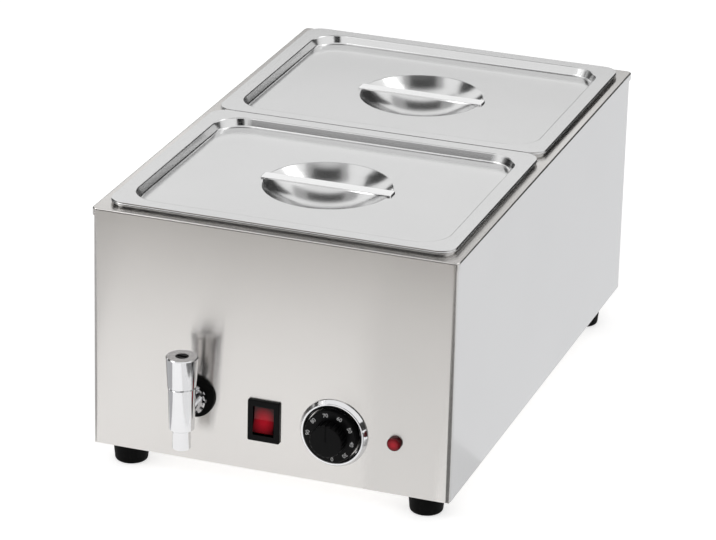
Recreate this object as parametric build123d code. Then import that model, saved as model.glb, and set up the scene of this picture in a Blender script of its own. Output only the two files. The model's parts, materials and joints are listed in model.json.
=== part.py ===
from build123d import *
import math
import os

# Driving sizes in millimetres. +Z is up, the floor is Z = 0 and the front panel faces -Y.

# Food pans, long side across the casing, and the clearances that all pieces share
pan_width = 325.0
pan_length = 264.5
pan_gap = 1.0
pan_depth = 100.0
pan_rim = 11.0
pan_rim_height = 4.0
pan_rim_bend = 1.2
pan_bead_width = 3.0
pan_bead_lift = 1.8
pan_bead_bend = 0.8
pan_corner = 16.0
pan_body_corner = 30.0
pan_lean = 6.0
pan_floor_bend = 14.0
sheet = 1.0
seat_gap = 0.3
running_gap = 0.05
screw_gap = 0.1

# Lids
lid_inset = 0.5
lid_rim = 14.0
lid_recess = 8.0
lid_recess_lean = 3.0
lid_recess_corner = 28.0
lid_bend = 2.0
dish_radius = 60.0
dish_depth = 20.0
strap_width = 14.0
strap_thickness = 1.5
strap_tab = 3.0

# Tank and casing
rim_margin = 10.0
pan_ledge = 8.5
water_gap = 54.0
well_corner = 24.0
skirt_height = 7.0
rim_bend = 1.5
casing_bend = 4.0
flange_width = 16.0
flange_notch = 2.0
control_height = 50.5
tank_clearance = 8.5
base_inset = 1.0
vent_length = 46.0
vent_width = 4.0
vent_pitch = 11.0
vent_rows = 6

# Feet
foot_height = 20.0
foot_radius = 17.0
foot_tip_radius = 15.0
foot_front_inset = 22.0
foot_front_side_inset = 28.5
foot_back_inset = 58.0
foot_back_side_inset = 21.0
foot_bend = 3.0
foot_pocket_depth = 8.0
foot_bolt_radius = 2.5

# Thermostat and its knob
knob_margin = 110.0
thermostat_width = 46.0
thermostat_height = 40.0
thermostat_depth = 28.0
thermostat_screw_pitch = 28.0
spindle_radius = 3.0
spindle_seat = 14.0
knob_skirt_radius = 24.4
knob_skirt_thickness = 7.0
knob_lift = 4.0
knob_grip_radius = 15.5
knob_grip_height = 11.0
knob_flutes = 20
knob_flute_radius = 1.6
knob_bend = 1.5
bezel_radius = 32.0
bezel_height = 5.0
bezel_gap = 0.8
bulb_radius = 3.0
bulb_length = 80.0
capillary_radius = 1.0
capillary_bend = 8.0

# Rocker switch
switch_x = -5.0
switch_width = 30.5
switch_height = 40.0
switch_frame = 3.0
switch_frame_bend = 1.5
switch_lip = 2.5
switch_depth = 24.0
rocker_width = 19.0
rocker_height = 27.0
rocker_face = 7.0
rocker_dip = 2.0
rocker_tilt = 11.0
rocker_gap = 0.5
rocker_pivot_depth = 4.0
pivot_radius = 2.0
pivot_length = 2.5
blade_width = 6.3
blade_thickness = 0.8
blade_length = 9.0

# Pilot lamp
lamp_margin = 52.7
lamp_radius = 6.6
lamp_height = 5.0
lamp_bend = 2.5
lamp_body_radius = 4.8
lamp_body_length = 24.0
lamp_nut_thickness = 3.0

# Drain tap and drain
tap_margin = 98.7
tap_offset = 30.0
drain_drop = 15.0
drain_straight = 4.0
drain_run = 8.0
shank_radius = 8.0
shank_tail = 22.0
passage_radius = 4.5
spout_drop = 39.0
spout_radius = 8.4
tap_body_drop = 20.0
tap_body_rise = 21.0
tap_body_radius = 12.6
tap_body_foot_radius = 11.6
tap_handle_height = 29.0
tap_handle_radius = 14.6
tap_handle_foot_radius = 13.2
tap_edge = 0.8
plug_radius = 6.0
plug_seat = 16.0
plug_passage_radius = 4.0
o_ring_radius = 0.6
tap_screw_head = 6.0
tap_screw_slot = 3.0
tap_gasket_radius = 20.0
tap_gasket_thickness = 4.0
tap_collar_radius = 14.5
tap_collar_thickness = 7.0
tap_collar_notches = 12
tap_collar_notch = 3.0
washer_thickness = 2.0
locknut_thickness = 7.0
locknut_flats = 26.0
coupling_length = 14.0
coupling_wall = 3.5

# Heating element, its clamps and the overheat cut-out
element_radius = 4.25
element_pitch = 60.0
element_end_margin = 55.0
element_tail = 45.0
terminal_length = 12.0
clamp_width = 20.0
clamp_thickness = 2.0
clamp_spread = 170.0
clamp_overhang = 12.0
stud_radius = 2.5
nut_flats = 8.0
nut_height = 4.0
cutout_radius = 8.0
cutout_height = 10.0

# Terminal block, earth stud, gland and wires
block_width = 40.0
block_length = 22.0
block_height = 18.0
block_back_margin = 60.0
block_margin = 101.2
block_screw_radius = 2.5
gland_margin = 61.2
gland_height = 42.0
gland_thread_radius = 10.0
gland_bore_radius = 4.5
gland_flats = 25.0
gland_hex_length = 6.0
gland_cap_radius = 11.0
gland_cap_length = 14.0
gland_tail = 10.0
gland_nut_thickness = 5.0
wire_radius = 1.3
wire_lift = 9.0
wire_bend = 10.0

# Screws
screw_radius = 2.0
screw_head_radius = 3.8
screw_head_height = 2.2
screw_length = 6.0

# Sizes that follow from the driving ones
pans_length = 2 * pan_length + pan_gap
rim_width = pan_width + 2 * rim_margin
rim_depth = pans_length + 2 * rim_margin
well_depth = pan_depth - pan_rim_height + water_gap
well_width = pan_width - 2 * pan_ledge
well_length = pans_length - 2 * pan_ledge
casing_width = rim_width - 2 * (sheet + seat_gap)
casing_depth = rim_depth - 2 * (sheet + seat_gap)
knob_x = casing_width / 2 - knob_margin
lamp_x = casing_width / 2 - lamp_margin
tap_x = tap_margin - casing_width / 2
gland_x = casing_width / 2 - gland_margin
block_x = casing_width / 2 - block_margin
control_z = foot_height + control_height
tank_under = control_z + thermostat_height / 2 + tank_clearance
well_floor = tank_under + sheet
rim_z = well_floor + well_depth
pan_top = rim_z + pan_rim_height
casing_floor = foot_height + sheet
tap_reach = tap_offset + tap_handle_radius
gland_reach = gland_hex_length + gland_cap_length
front_y = (tap_reach - gland_reach - casing_depth) / 2
back_y = front_y + casing_depth
middle_y = (front_y + back_y) / 2
tap_y = front_y - tap_offset
tap_z = tank_under - drain_drop
tap_body_top = tap_z + tap_body_rise
handle_bottom = tap_body_top + seat_gap
handle_top = handle_bottom + tap_handle_height
screw_hole = screw_radius + screw_gap
element_z = tank_under - seat_gap - element_radius
clamp_top = element_z - element_radius - seat_gap
lid_width = pan_width - 2 * lid_inset
lid_length = pan_length - 2 * lid_inset
lid_top = pan_top + sheet
panel_top = lid_top - lid_recess
dish_ball_radius = (dish_radius**2 + dish_depth**2) / (2 * dish_depth)


def block(x0, x1, y0, y1, z0, z1):
    """Rectangular block between two corners."""
    return Pos((x0 + x1) / 2, (y0 + y1) / 2, (z0 + z1) / 2) * Box(x1 - x0, y1 - y0, z1 - z0)


def post(x, y, z0, z1, radius):
    """Upright cylinder."""
    return Pos(x, y, (z0 + z1) / 2) * Cylinder(radius, z1 - z0)


def rod(x, z, y0, y1, radius):
    """Cylinder that runs front to back."""
    return Pos(x, (y0 + y1) / 2, z) * Rot(90, 0, 0) * Cylinder(radius, y1 - y0)


def rounded_block(width, length, z0, z1, corner, y):
    """Upright block with round corners, centred left to right."""
    return extrude(Pos(0, y, z0) * RectangleRounded(width, length, corner), z1 - z0)


def tub(width, length, corner, lean, z_top, z_bottom, y):
    """Block with round corners whose walls lean inwards towards the bottom."""
    top = Pos(0, y, z_top) * RectangleRounded(width, length, corner)
    bottom = Pos(0, y, z_bottom) * RectangleRounded(width - 2 * lean, length - 2 * lean, corner - lean / 2)
    return loft([bottom, top])


def turned(points):
    """Solid turned about Z from an outline of (radius, height) points."""
    outline = make_face(Polyline(*[(r, 0, h) for r, h in points], close=True))
    return revolve(outline, Axis.Z)


def on_front(x, z):
    """Place on the front panel: local x right, y up and z out of the panel."""
    return Pos(x, front_y, z) * Rot(90, 0, 0)


def on_back(x, z):
    """Place on the back panel: local z points out of the panel."""
    return Pos(x, back_y, z) * Rot(-90, 0, 0)


def hexagon(flats, height):
    """Hexagonal bar that stands on Z = 0."""
    return extrude(RegularPolygon(flats / 2, 6, major_radius=False), height)


def tube_along(path, radius):
    """Round bar along a path."""
    return sweep(Plane(origin=path @ 0, z_dir=path % 0) * Circle(radius), path=path)


def top_edges(solid):
    return solid.edges().group_by(Axis.Z)[-1]


def bottom_edges(solid):
    return solid.edges().group_by(Axis.Z)[0]


def screw():
    """Pan-head screw: its head stands on Z = 0 and its shank points down."""
    head = Cylinder(screw_head_radius, screw_head_height, align=(Align.CENTER, Align.CENTER, Align.MIN))
    head = fillet(top_edges(head), screw_head_height / 2)
    slot = Pos(0, 0, screw_head_height) * Box(2 * screw_head_radius, screw_radius / 2, screw_head_height)
    shank = Cylinder(screw_radius, screw_length, align=(Align.CENTER, Align.CENTER, Align.MAX))
    return head - slot + shank


def foot_places():
    rows = (
        (front_y + foot_front_inset, casing_width / 2 - foot_front_side_inset),
        (back_y - foot_back_inset, casing_width / 2 - foot_back_side_inset),
    )
    return [(x, y) for y, half in rows for x in (-half, half)]


def base_screw_places():
    """Screws of the base plate: three along each side flange and two along the front flange."""
    x = casing_width / 2 - flange_width / 2
    side_ys = [middle_y - casing_depth / 3, middle_y, middle_y + casing_depth / 3]
    sides = [(sign * x, y) for sign in (-1, 1) for y in side_ys]
    fronts = [(sign * casing_width / 6, front_y + flange_width / 2) for sign in (-1, 1)]
    return sides + fronts


def back_screw_places():
    """Screws of the back panel, three on each back flange."""
    x = casing_width / 2 - flange_width / 2
    low = casing_floor + 2 * flange_width
    high = rim_z - skirt_height - flange_width
    return [(sign * x, z) for sign in (-1, 1) for z in (low, (low + high) / 2, high)]


def clamp_stud_places():
    xs = (-element_pitch, element_pitch)
    return [(x, y) for y in clamp_rows() for x in xs]


def clamp_rows():
    return (middle_y - clamp_spread / 2, middle_y + clamp_spread / 2)


def thermostat_screw_places():
    return [(sign * thermostat_screw_pitch / 2, 0) for sign in (-1, 1)]


def make_outer_casing():
    """Front and both sides bent from one sheet, with flanges for the base and the back."""
    wall_x = (casing_width - sheet) / 2
    wall_front = front_y + sheet / 2
    wall_back = back_y - sheet * 3 / 2
    plan = FilletPolyline(
        (-wall_x + flange_width, wall_back),
        (-wall_x, wall_back),
        (-wall_x, wall_front),
        (wall_x, wall_front),
        (wall_x, wall_back),
        (wall_x - flange_width, wall_back),
        radius=casing_bend - sheet / 2,
    )
    shell = Pos(0, 0, casing_floor) * extrude(trace(plan, sheet), rim_z - sheet - casing_floor)
    flange_top = casing_floor + sheet
    corner = flange_width + flange_notch
    for sign in (-1, 1):
        edge = sign * wall_x
        inner = sign * (casing_width / 2 - flange_width)
        x0, x1 = min(edge, inner), max(edge, inner)
        shell += block(x0, x1, front_y + corner, wall_back - corner, casing_floor, flange_top)
    half = casing_width / 2 - corner
    shell += block(-half, half, wall_front, front_y + flange_width, casing_floor, flange_top)
    shell -= [post(x, y, foot_height, flange_top + sheet, screw_hole) for x, y in base_screw_places()]
    shell -= [rod(x, z, back_y - 4 * sheet, back_y, screw_hole) for x, z in back_screw_places()]
    shell -= rod(tap_x, tap_z, front_y - sheet, front_y + 2 * sheet, shank_radius + screw_gap)
    shell -= rod(lamp_x, control_z, front_y - sheet, front_y + 2 * sheet, lamp_body_radius + screw_gap)
    shell -= rod(knob_x, control_z, front_y - sheet, front_y + 2 * sheet, spindle_radius + sheet)
    panel = on_front(knob_x, control_z)
    shell -= [panel * Pos(x, y) * Cylinder(screw_hole, 4 * sheet) for x, y in thermostat_screw_places()]
    cut = Box(switch_width - 2 * switch_lip, switch_height - 2 * switch_lip, 4 * sheet)
    return shell - on_front(switch_x, control_z) * cut


def make_back_panel():
    """Flat cover with vent slots, screwed to the casing's back flanges."""
    half = casing_width / 2 - casing_bend
    panel = block(-half, half, back_y - sheet, back_y, casing_floor, rim_z - sheet)
    slot = on_back(0, 0) * extrude(SlotOverall(vent_length, vent_width), 4 * sheet, both=True)
    for row in range(vent_rows):
        z = rim_z - skirt_height - 3 * vent_pitch - row * vent_pitch
        panel -= [Pos(sign * vent_length, 0, z) * slot for sign in (-1, 1)]
    panel -= [rod(x, z, back_y - 4 * sheet, back_y + sheet, screw_hole) for x, z in back_screw_places()]
    gland_z = foot_height + gland_height
    return panel - rod(gland_x, gland_z, back_y - 2 * sheet, back_y + sheet, gland_thread_radius + screw_gap)


def make_base_plate():
    """Bottom cover with vent slots, screwed up into the casing's flanges."""
    half = casing_width / 2 - base_inset
    plate = block(-half, half, front_y + base_inset, back_y - base_inset, foot_height, casing_floor)
    slot = extrude(SlotOverall(vent_length, vent_width), 4 * sheet, both=True)
    for row in range(vent_rows):
        y = middle_y + (row - (vent_rows - 1) / 2) * vent_pitch
        plate -= [Pos(sign * vent_length, y, foot_height) * slot for sign in (-1, 1)]
    low = foot_height - sheet
    high = casing_floor + sheet
    bolt_hole = foot_bolt_radius + screw_gap
    plate -= [post(x, y, low, high, screw_hole) for x, y in base_screw_places()]
    plate -= [post(x, y, low, high, bolt_hole) for x, y in foot_places()]
    return plate - post(*earth_place(), low, high, stud_radius + screw_gap)


def make_tank_rim():
    """Flat rim round the tank's mouth that turns down over the casing."""
    rim_corner = casing_bend + seat_gap + sheet
    inner_width = rim_width - 2 * sheet
    inner_depth = rim_depth - 2 * sheet
    low = rim_z - skirt_height
    cap = rounded_block(rim_width, rim_depth, low, rim_z, rim_corner, middle_y)
    cap = fillet(top_edges(cap), rim_bend)
    cap -= rounded_block(inner_width, inner_depth, low, rim_z - sheet, rim_corner - sheet, middle_y)
    return cap - rounded_block(well_width, well_length, low, rim_z + sheet, well_corner, middle_y)


def make_water_tank():
    """Deep well welded from a floor, four wall sheets and four rounded corners."""
    top = rim_z - sheet
    x = well_width / 2
    y = well_length / 2
    flat_x = x - well_corner
    flat_y = y - well_corner
    outer_corner = well_corner + sheet
    floor = rounded_block(2 * (x + sheet), 2 * (y + sheet), tank_under, well_floor, outer_corner, 0)
    floor -= post(tap_x, drain_y() - middle_y, tank_under, well_floor, shank_radius - drain_wall())
    side = block(x, x + sheet, -flat_y, flat_y, well_floor, top)
    end = block(-flat_x, flat_x, y, y + sheet, well_floor, top)
    bend = post(flat_x, flat_y, well_floor, top, outer_corner)
    bend -= post(flat_x, flat_y, well_floor, top, well_corner)
    bend &= block(flat_x, x + sheet, flat_y, y + sheet, well_floor, top)
    sides = [side, mirror(side, Plane.YZ)]
    ends = [end, mirror(end, Plane.XZ)]
    bends = [bend, mirror(bend, Plane.YZ)]
    bends += [mirror(piece, Plane.XZ) for piece in bends]
    return Pos(0, middle_y, 0) * Compound([piece.solid() for piece in (floor, *sides, *ends, *bends)])


def pan_outline(inset, z0, z1, y):
    return rounded_block(pan_width - 2 * inset, pan_length - 2 * inset, z0, z1, pan_corner - inset, y)


def make_pan(y):
    """Food pan with leaning walls, a beaded rim and a set-back edge that stands on the tank's rim."""
    bead = rim_z + pan_bead_lift
    lip = pan_outline(0, bead, pan_top, y)
    lip = fillet(top_edges(lip), pan_rim_bend)
    lip = fillet(bottom_edges(lip), pan_bead_bend)
    lip += pan_outline(pan_bead_width - sheet, rim_z, pan_top - sheet, y)
    lip -= pan_outline(pan_bead_width, rim_z, pan_top - sheet, y)
    width = pan_width - 2 * pan_rim
    length = pan_length - 2 * pan_rim
    floor = pan_top - pan_depth
    outer = tub(width, length, pan_body_corner, pan_lean, pan_top - sheet / 2, floor, y)
    outer = fillet(bottom_edges(outer), pan_floor_bend + sheet)
    inner = tub(
        width - 2 * sheet, length - 2 * sheet, pan_body_corner - sheet, pan_lean,
        pan_top + sheet, floor + sheet, y,
    )
    inner = fillet(bottom_edges(inner), pan_floor_bend)
    return lip + outer - inner


def make_lid(y):
    """Flat rim, recessed panel and a round dish that leaves room for fingers."""
    width = lid_width - 2 * lid_rim
    length = lid_length - 2 * lid_rim
    plate = rounded_block(lid_width, lid_length, pan_top, lid_top, pan_corner - lid_inset, y)
    outer = tub(
        width + 2 * sheet, length + 2 * sheet, lid_recess_corner + sheet, lid_recess_lean, lid_top,
        panel_top - sheet, y,
    )
    outer = fillet(bottom_edges(outer), lid_bend + sheet)
    inner = tub(width, length, lid_recess_corner, lid_recess_lean, lid_top, panel_top, y)
    inner = fillet(bottom_edges(inner), lid_bend)
    lid = plate + outer - inner + dish_ball(sheet, y) - dish_ball(0, y)
    brim = [e for e in lid.edges().filter_by(GeomType.CIRCLE) if abs(e.radius - dish_radius) < sheet / 2]
    brim = [e for e in brim if abs(e.center().Z - panel_top) < sheet / 2]
    shoulder = [e for e in lid.edges() if is_shoulder(e, width, length, y)]
    return fillet(brim + shoulder, lid_bend * 3 / 5)


def dish_ball(wall, y):
    """Round hollow of a lid's dish, or the sheet round it when grown by a wall."""
    top = panel_top - wall / 2
    half = 2 * dish_radius
    ball = Pos(0, y, panel_top - dish_depth + dish_ball_radius) * Sphere(dish_ball_radius + wall)
    return ball & block(-half, half, y - half, y + half, top - 2 * dish_depth, top)


def is_shoulder(edge, width, length, y):
    """True for the edge where a lid's flat rim turns down into its recess."""
    box = edge.bounding_box()
    level = abs(box.min.Z - lid_top) < sheet / 4 and abs(box.max.Z - lid_top) < sheet / 4
    inside = box.max.X <= width / 2 + sheet / 4 and box.min.X >= -width / 2 - sheet / 4
    within = box.max.Y <= y + length / 2 + sheet / 4 and box.min.Y >= y - length / 2 - sheet / 4
    return level and inside and within


def make_strap(y):
    """Flat strap handle that bridges a lid's dish from left to right."""
    length = 2 * (dish_radius + strap_tab)
    top = panel_top + strap_thickness
    strap = rounded_block(length, strap_width, panel_top, top, strap_tab * 2 / 3, y)
    return fillet(top_edges(strap), strap_thickness / 3)


def make_foot(x, y):
    """Tapering rubber foot with a pocket for its screw."""
    foot = Cone(
        foot_tip_radius, foot_radius, foot_height, align=(Align.CENTER, Align.CENTER, Align.MIN)
    )
    foot = fillet(bottom_edges(foot), foot_bend)
    foot -= post(0, 0, 0, foot_pocket_depth, 2 * foot_bolt_radius + screw_gap)
    foot -= post(0, 0, 0, foot_height, foot_bolt_radius + screw_gap)
    return Pos(x, y, 0) * foot


def make_foot_screws():
    """Screws that hold the feet, heads up in the pockets."""
    head = post(0, 0, foot_pocket_depth - foot_bolt_radius, foot_pocket_depth, 2 * foot_bolt_radius)
    shank = post(0, 0, foot_pocket_depth, casing_floor + nut_height + sheet, foot_bolt_radius)
    slot = Box(4 * foot_bolt_radius, sheet, foot_bolt_radius)
    bolt = head + shank - Pos(0, 0, foot_pocket_depth - foot_bolt_radius) * slot
    return Part() + [Pos(x, y, 0) * bolt for x, y in foot_places()]


def make_foot_nuts():
    nut = hexagon(nut_flats, nut_height) - Cylinder(foot_bolt_radius + screw_gap, 4 * nut_height)
    return Part() + [Pos(x, y, casing_floor) * nut for x, y in foot_places()]


def make_base_screws():
    return Part() + [Pos(x, y, foot_height) * Rot(180, 0, 0) * screw() for x, y in base_screw_places()]


def make_back_screws():
    return Part() + [on_back(x, z) * screw() for x, z in back_screw_places()]


def make_thermostat_body():
    """Control box behind the panel, with a hole for its spindle."""
    back = -sheet - thermostat_depth
    body = Pos(0, 0, (back - sheet) / 2) * Box(thermostat_width, thermostat_height, thermostat_depth)
    body = fillet(body.edges().filter_by(Axis.Z), knob_bend)
    body -= Pos(0, 0, -sheet) * Cylinder(spindle_radius + running_gap, 2 * spindle_seat)
    holes = [Pos(x, y, -sheet) * Cylinder(screw_hole, 2 * screw_length) for x, y in thermostat_screw_places()]
    body -= holes
    blade = Box(blade_width, blade_thickness, blade_length, align=(Align.CENTER, Align.CENTER, Align.MAX))
    blades = [Pos(sign * thermostat_blade_x(), 0, back) * blade for sign in (-1, 1)]
    return on_front(knob_x, control_z) * (body + blades)


def thermostat_blade_x():
    return thermostat_width / 4


def make_thermostat_spindle():
    tip = knob_lift + knob_skirt_thickness + knob_grip_height / 2
    root = -sheet - spindle_seat + seat_gap
    return on_front(knob_x, control_z) * Pos(0, 0, (tip + root) / 2) * Cylinder(spindle_radius, tip - root)


def make_thermostat_screws():
    panel = on_front(knob_x, control_z)
    return Part() + [panel * Pos(x, y) * screw() for x, y in thermostat_screw_places()]


def make_knob():
    """Numbered skirt with a fluted grip, bored for the spindle."""
    grip_bottom = knob_lift + knob_skirt_thickness
    grip_top = grip_bottom + knob_grip_height
    up = (Align.CENTER, Align.CENTER, Align.MIN)
    skirt = Pos(0, 0, knob_lift) * Cylinder(knob_skirt_radius, knob_skirt_thickness, align=up)
    skirt = fillet(top_edges(skirt), knob_bend / 2)
    grip = Pos(0, 0, grip_bottom) * Cylinder(knob_grip_radius, knob_grip_height, align=up)
    grip = fillet(top_edges(grip), knob_bend)
    flute = Pos(knob_grip_radius + knob_flute_radius / 2, 0, grip_bottom) * Cylinder(
        knob_flute_radius, 2 * knob_grip_height, align=up
    )
    grip -= [Rot(0, 0, 360 * i / knob_flutes) * flute for i in range(knob_flutes)]
    bore_top = grip_bottom + knob_grip_height / 2 + seat_gap
    bore = Cylinder(spindle_radius + running_gap, bore_top, align=up)
    mark = Pos(0, knob_grip_radius / 2, grip_top) * Box(knob_bend, knob_grip_radius, knob_bend)
    return on_front(knob_x, control_z) * (skirt + grip - bore - mark)


def make_knob_bezel():
    """Bright ring fixed to the panel round the knob's skirt."""
    inner = knob_skirt_radius + bezel_gap
    crown = (inner + bezel_radius) / 2
    ring = turned([
        (inner, 0),
        (bezel_radius, 0),
        (bezel_radius, bezel_height / 4),
        (crown + bezel_gap, bezel_height),
        (crown - bezel_gap, bezel_height),
        (inner, bezel_height / 2),
    ])
    top = ring.edges().filter_by(lambda e: e.center().Z > bezel_height / 3)
    return on_front(knob_x, control_z) * fillet(top, bezel_gap)


def bulb_start():
    """Front end of the sensing bulb, under the middle lane of the element."""
    return (0.0, middle_y - bulb_length / 2, tank_under - seat_gap - bulb_radius)


def make_capillary_tube():
    """Thin tube from the thermostat to the sensing bulb."""
    back = front_y + sheet + thermostat_depth
    x, y, z = bulb_start()
    low = control_z + thermostat_height / 4
    turn = clamp_rows()[0] - clamp_width - 2 * capillary_bend
    path = FilletPolyline(
        (knob_x, back, low),
        (knob_x, back + 2 * capillary_bend, low),
        (x, turn - 2 * capillary_bend, low),
        (x, turn, z),
        (x, y, z),
        radius=capillary_bend,
    )
    return tube_along(path, capillary_radius)


def make_sensing_bulb():
    x, y, z = bulb_start()
    return rod(x, z, y, y + bulb_length, bulb_radius)


def make_bulb_clips():
    """Two saddles that hold the bulb up against the tank's floor."""
    x, y, z = bulb_start()
    half = bulb_radius + 2 * sheet
    saddle = block(x - half, x + half, -half / 2, half / 2, z - half, tank_under)
    saddle -= rod(x, z, -half, half, bulb_radius + screw_gap)
    saddle -= block(x - bulb_radius - screw_gap, x + bulb_radius + screw_gap, -half, half, z, tank_under)
    spots = (y + bulb_length / 4, y + bulb_length * 3 / 4)
    return Part() + [Pos(0, spot, 0) * saddle for spot in spots]


def make_switch_housing():
    """Black frame and body of the switch, hollow for the rocker."""
    frame = extrude(RectangleRounded(switch_width, switch_height, switch_frame_bend), switch_frame)
    frame = fillet(top_edges(frame), switch_frame / 3)
    play = 2 * screw_gap
    body_width = switch_width - 2 * switch_lip - play
    body_height = switch_height - 2 * switch_lip - play
    body = Pos(0, 0, -switch_depth / 2) * Box(body_width, body_height, switch_depth)
    well_size = (rocker_width + 2 * rocker_gap, rocker_height + 2 * rocker_gap)
    well = Pos(0, 0, switch_frame - rocker_well_depth() / 2) * Box(*well_size, rocker_well_depth())
    pin_hole = Pos(0, 0, -rocker_pivot_depth) * Rot(0, 90, 0)
    pin_span = rocker_width + 2 * (pivot_length + rocker_gap)
    housing = frame + body - well - pin_hole * Cylinder(pivot_radius + running_gap, pin_span)
    return on_front(switch_x, control_z) * housing


def rocker_well_depth():
    """Depth of the hollow under the frame's face: room for the rocker to tip."""
    swing = rocker_height / 2 * math.sin(math.radians(2 * rocker_tilt))
    return switch_frame + rocker_pivot_depth + swing + sheet


def make_switch_rocker():
    """Rocker with two shallow facets, tipped with its upper half pressed."""
    half = rocker_height / 2
    heel = pivot_radius + 2 * rocker_gap
    outline = make_face(Polyline(
        (rocker_face, -half),
        (rocker_face - rocker_dip, 0),
        (rocker_face, half),
        (heel / 2, half),
        (-heel, heel),
        (-heel, -heel),
        (heel / 2, -half),
        close=True,
    ))
    paddle = extrude(outline, rocker_width / 2, both=True)
    paddle &= Cylinder(half, 2 * rocker_width)
    pins = Cylinder(pivot_radius, rocker_width + 2 * pivot_length)
    rocker = Rot(0, -90, 0) * (paddle + pins)
    return on_front(switch_x, control_z) * Pos(0, 0, -rocker_pivot_depth) * Rot(-rocker_tilt, 0, 0) * rocker


def blade_places():
    """Four blade terminals at the back of the switch."""
    dx = (switch_width - 2 * switch_lip) / 4
    dy = (switch_height - 2 * switch_lip) / 4
    return [(sx * dx, sy * dy) for sy in (-1, 1) for sx in (-1, 1)]


def make_switch_terminals():
    blade = Box(blade_width, blade_thickness, blade_length, align=(Align.CENTER, Align.CENTER, Align.MAX))
    panel = on_front(switch_x, control_z)
    return Part() + [panel * Pos(x, y, -switch_depth) * blade for x, y in blade_places()]


def make_lamp_lens():
    lens = Cylinder(lamp_radius, lamp_height, align=(Align.CENTER, Align.CENTER, Align.MIN))
    return on_front(lamp_x, control_z) * fillet(top_edges(lens), lamp_bend)


def make_lamp_body():
    body = Cylinder(lamp_body_radius, lamp_body_length, align=(Align.CENTER, Align.CENTER, Align.MAX))
    return on_front(lamp_x, control_z) * body


def make_lamp_nut():
    nut = hexagon(3 * lamp_body_radius, lamp_nut_thickness)
    nut -= Cylinder(lamp_body_radius + screw_gap, 4 * lamp_nut_thickness)
    return on_front(lamp_x, control_z) * Pos(0, 0, -sheet - lamp_nut_thickness) * nut


def drain_wall():
    return shank_radius - plug_radius


def drain_y():
    """Front to back place of the tank's drain hole."""
    bend = drain_drop - drain_straight
    return front_y + sheet + shank_tail + drain_run + bend


def make_tap_body():
    """Turned body with its spout below and its threaded shank through the panel."""
    low = tap_z - tap_body_drop
    tip = tap_z - spout_drop
    body = turned([
        (0, tip),
        (spout_radius - tap_edge, tip),
        (spout_radius, tip + tap_edge),
        (spout_radius, low),
        (tap_body_foot_radius - tap_edge, low),
        (tap_body_foot_radius, low + tap_edge),
        (tap_body_radius, tap_body_top - tap_edge),
        (tap_body_radius - tap_edge, tap_body_top),
        (0, tap_body_top),
    ])
    body = Pos(tap_x, tap_y, 0) * body
    shank_end = front_y + sheet + shank_tail
    body += rod(tap_x, tap_z, tap_y, shank_end, shank_radius)
    body -= rod(tap_x, tap_z, tap_y, shank_end, passage_radius)
    body -= post(tap_x, tap_y, tip, tap_z, passage_radius)
    return body - post(tap_x, tap_y, plug_bottom(), tap_body_top, plug_radius + running_gap)


def plug_bottom():
    return tap_z - passage_radius - 2 * sheet


def o_ring_z():
    return (tap_z + passage_radius + tap_body_top) / 2


def make_tap_plug():
    """Valve plug with a bent passage; its side port faces away from the shank when closed."""
    top = handle_bottom + plug_seat
    bottom = plug_bottom() + seat_gap
    plug = post(0, 0, bottom, top, plug_radius)
    plug -= post(0, 0, bottom, tap_z, plug_passage_radius)
    plug -= Pos(plug_radius / 2, 0, tap_z) * Rot(0, 90, 0) * Cylinder(plug_passage_radius, plug_radius)
    groove = Pos(0, 0, o_ring_z()) * Cylinder(plug_radius + sheet, 2 * o_ring_radius + 2 * screw_gap)
    groove -= Cylinder(plug_radius - 2 * o_ring_radius - screw_gap, 4 * handle_top)
    plug -= groove
    plug -= post(0, 0, top - screw_length, top, screw_hole)
    return Pos(tap_x, tap_y, 0) * plug


def make_o_ring():
    ring = Torus(plug_radius - o_ring_radius, o_ring_radius)
    return Pos(tap_x, tap_y, o_ring_z()) * ring


def make_tap_handle():
    """Tapering grip that turns on top of the body, with a pocket for its screw."""
    handle = turned([
        (0, handle_bottom),
        (tap_handle_foot_radius - tap_edge, handle_bottom),
        (tap_handle_foot_radius, handle_bottom + tap_edge),
        (tap_handle_radius, handle_top - tap_edge),
        (tap_handle_radius - tap_edge, handle_top),
        (0, handle_top),
    ])
    handle -= post(0, 0, handle_bottom, handle_bottom + plug_seat, plug_radius + screw_gap)
    handle -= post(0, 0, handle_bottom, handle_top, screw_hole)
    handle -= post(0, 0, handle_top - screw_pocket(), handle_top, tap_screw_head + screw_gap)
    return Pos(tap_x, tap_y, 0) * handle


def screw_pocket():
    return tap_screw_slot


def make_tap_handle_screw():
    """Slotted screw that ties the handle to the plug."""
    pocket = handle_top - screw_pocket()
    head = post(0, 0, pocket, handle_top - screw_gap, tap_screw_head)
    cut = Box(3 * tap_screw_head / 2, tap_screw_slot, tap_screw_slot)
    head -= Pos(0, 0, handle_top) * cut
    shank = post(0, 0, handle_bottom + plug_seat - screw_length + seat_gap, pocket, screw_radius)
    return Pos(tap_x, tap_y, 0) * (head + shank)


def panel_ring(outer, inner, low, high):
    """Ring about the tap's shank between two distances out of the front panel."""
    up = (Align.CENTER, Align.CENTER, Align.MIN)
    ring = Cylinder(outer, high - low, align=up) - Cylinder(inner, high - low, align=up)
    return Pos(0, 0, low) * ring


def make_tap_gasket():
    ring = panel_ring(tap_gasket_radius, shank_radius + screw_gap, 0, tap_gasket_thickness)
    rim = [e for e in top_edges(ring) if e.radius > shank_radius + sheet]
    return on_front(tap_x, tap_z) * fillet(rim, tap_gasket_thickness / 3)


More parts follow.
